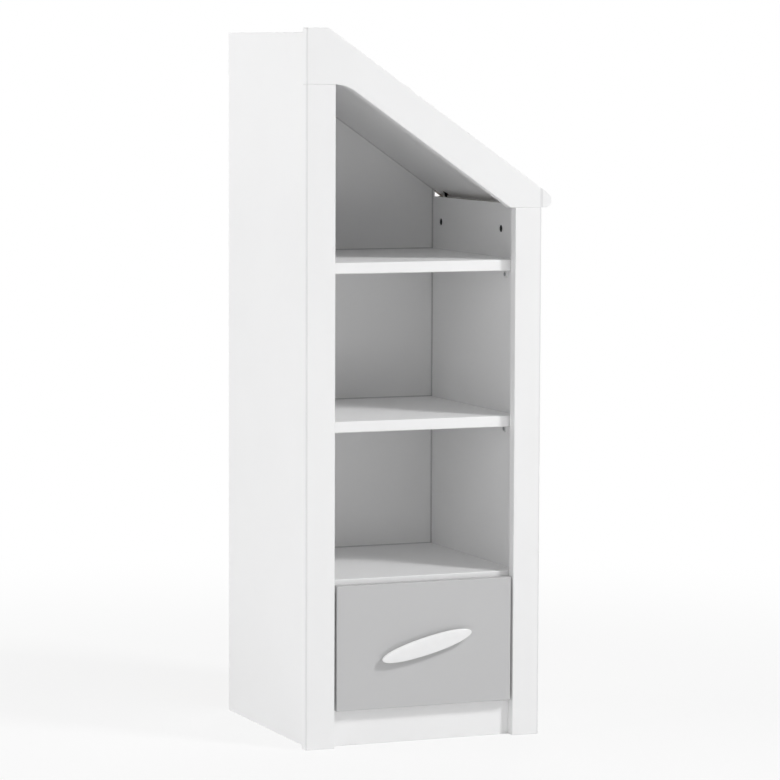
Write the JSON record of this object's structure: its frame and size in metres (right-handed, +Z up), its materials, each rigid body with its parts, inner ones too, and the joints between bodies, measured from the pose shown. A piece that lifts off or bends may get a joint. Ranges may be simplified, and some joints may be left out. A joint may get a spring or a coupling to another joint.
{
  "type": "bookcase",
  "caption": "House-shaped children's bookcase with a lean-to roof, open compartments between stiles and a drawer on roller runners.",
  "frame": {"origin": "on the floor, under the middle of the whole object's box", "axes": "+Z up, -Y out of the front, where the drawer opens; +X towards the low side of the roof"},
  "size_m": [0.519, 0.491, 1.4],
  "materials": {
    "white_lacquer": "satin white lacquer on fibreboard",
    "white_board": "satin white melamine on board",
    "thin_board": "white lacquered hardboard",
    "drawer_board": "white melamine on board",
    "grey_lacquer": "satin light grey lacquer on fibreboard",
    "bare_wood": "unfinished beech and pine",
    "coated_steel": "white powder-coated sheet steel",
    "zinc_steel": "zinc-plated steel",
    "nylon": "white nylon",
    "white_plastic": "satin white moulded plastic"
  },
  "bodies": {
    "case": {"left_side_panel": "white_lacquer", "right_side_panel": "white_lacquer", "roof_panel": "white_lacquer", "roof_fascia": "white_lacquer", "left_stile": "white_lacquer", "right_stile": "white_lacquer", "front_plinth": "white_lacquer", "upper_shelf": "white_board", "lower_shelf": "white_board", "drawer_cover_shelf": "white_board", "bottom_panel": "white_board", "back_panel": "thin_board", "left_runner_batten": "bare_wood", "right_runner_batten": "bare_wood", "dowels": "bare_wood", "left_cabinet_rail": "coated_steel", "right_cabinet_rail": "coated_steel", "shelf_brackets": "coated_steel", "bracket_screws": "zinc_steel", "cam_locks": "zinc_steel", "cam_bolts": "zinc_steel", "roof_bolts": "zinc_steel", "barrel_nuts": "zinc_steel", "batten_screws": "zinc_steel", "cabinet_rail_screws": "zinc_steel", "back_nails": "zinc_steel", "cabinet_roller_pins": "zinc_steel"},
    "drawer": {"drawer_front": "grey_lacquer", "drawer_left_side": "drawer_board", "drawer_right_side": "drawer_board", "drawer_back": "drawer_board", "drawer_bottom": "thin_board", "left_drawer_rail": "coated_steel", "right_drawer_rail": "coated_steel", "drawer_roller_pins": "zinc_steel", "drawer_rail_screws": "zinc_steel", "drawer_dowels": "bare_wood", "drawer_cam_locks": "zinc_steel", "drawer_cam_bolts": "zinc_steel", "drawer_back_screws": "zinc_steel", "handle": "white_plastic", "handle_screws": "zinc_steel"},
    "front_left_roller": {"front_roller_left": "nylon"},
    "front_right_roller": {"front_roller_right": "nylon"},
    "rear_left_roller": {"rear_roller_left": "nylon"},
    "rear_right_roller": {"rear_roller_right": "nylon"}
  },
  "joints": [
    {"name": "drawer_slide", "type": "slide", "parent": "case", "child": "drawer", "axis": [0, -1, 0], "range_m": [0, 0.3]},
    {"name": "front_left_roller_spin", "type": "hinge", "parent": "case", "child": "front_left_roller", "pos_m": [-0.19245, -0.1915, 0.1333], "axis": [1, 0, 0], "range_deg": [0, 1440]},
    {"name": "front_right_roller_spin", "type": "hinge", "parent": "case", "child": "front_right_roller", "pos_m": [0.17495, -0.1915, 0.1333], "axis": [1, 0, 0], "range_deg": [0, 1440]},
    {"name": "rear_left_roller_spin", "type": "hinge", "parent": "drawer", "child": "rear_left_roller", "pos_m": [-0.19245, 0.1655, 0.1315], "axis": [1, 0, 0], "range_deg": [0, 1440]},
    {"name": "rear_right_roller_spin", "type": "hinge", "parent": "drawer", "child": "rear_right_roller", "pos_m": [0.17495, 0.1655, 0.1315], "axis": [1, 0, 0], "range_deg": [0, 1440]}
  ],
  "couplings": [
    {"joint": "front_left_roller_spin", "follows": "drawer_slide", "rad_per_m": 83.333},
    {"joint": "front_right_roller_spin", "follows": "drawer_slide", "rad_per_m": 83.333},
    {"joint": "rear_left_roller_spin", "follows": "drawer_slide", "rad_per_m": 83.333},
    {"joint": "rear_right_roller_spin", "follows": "drawer_slide", "rad_per_m": 83.333}
  ]
}
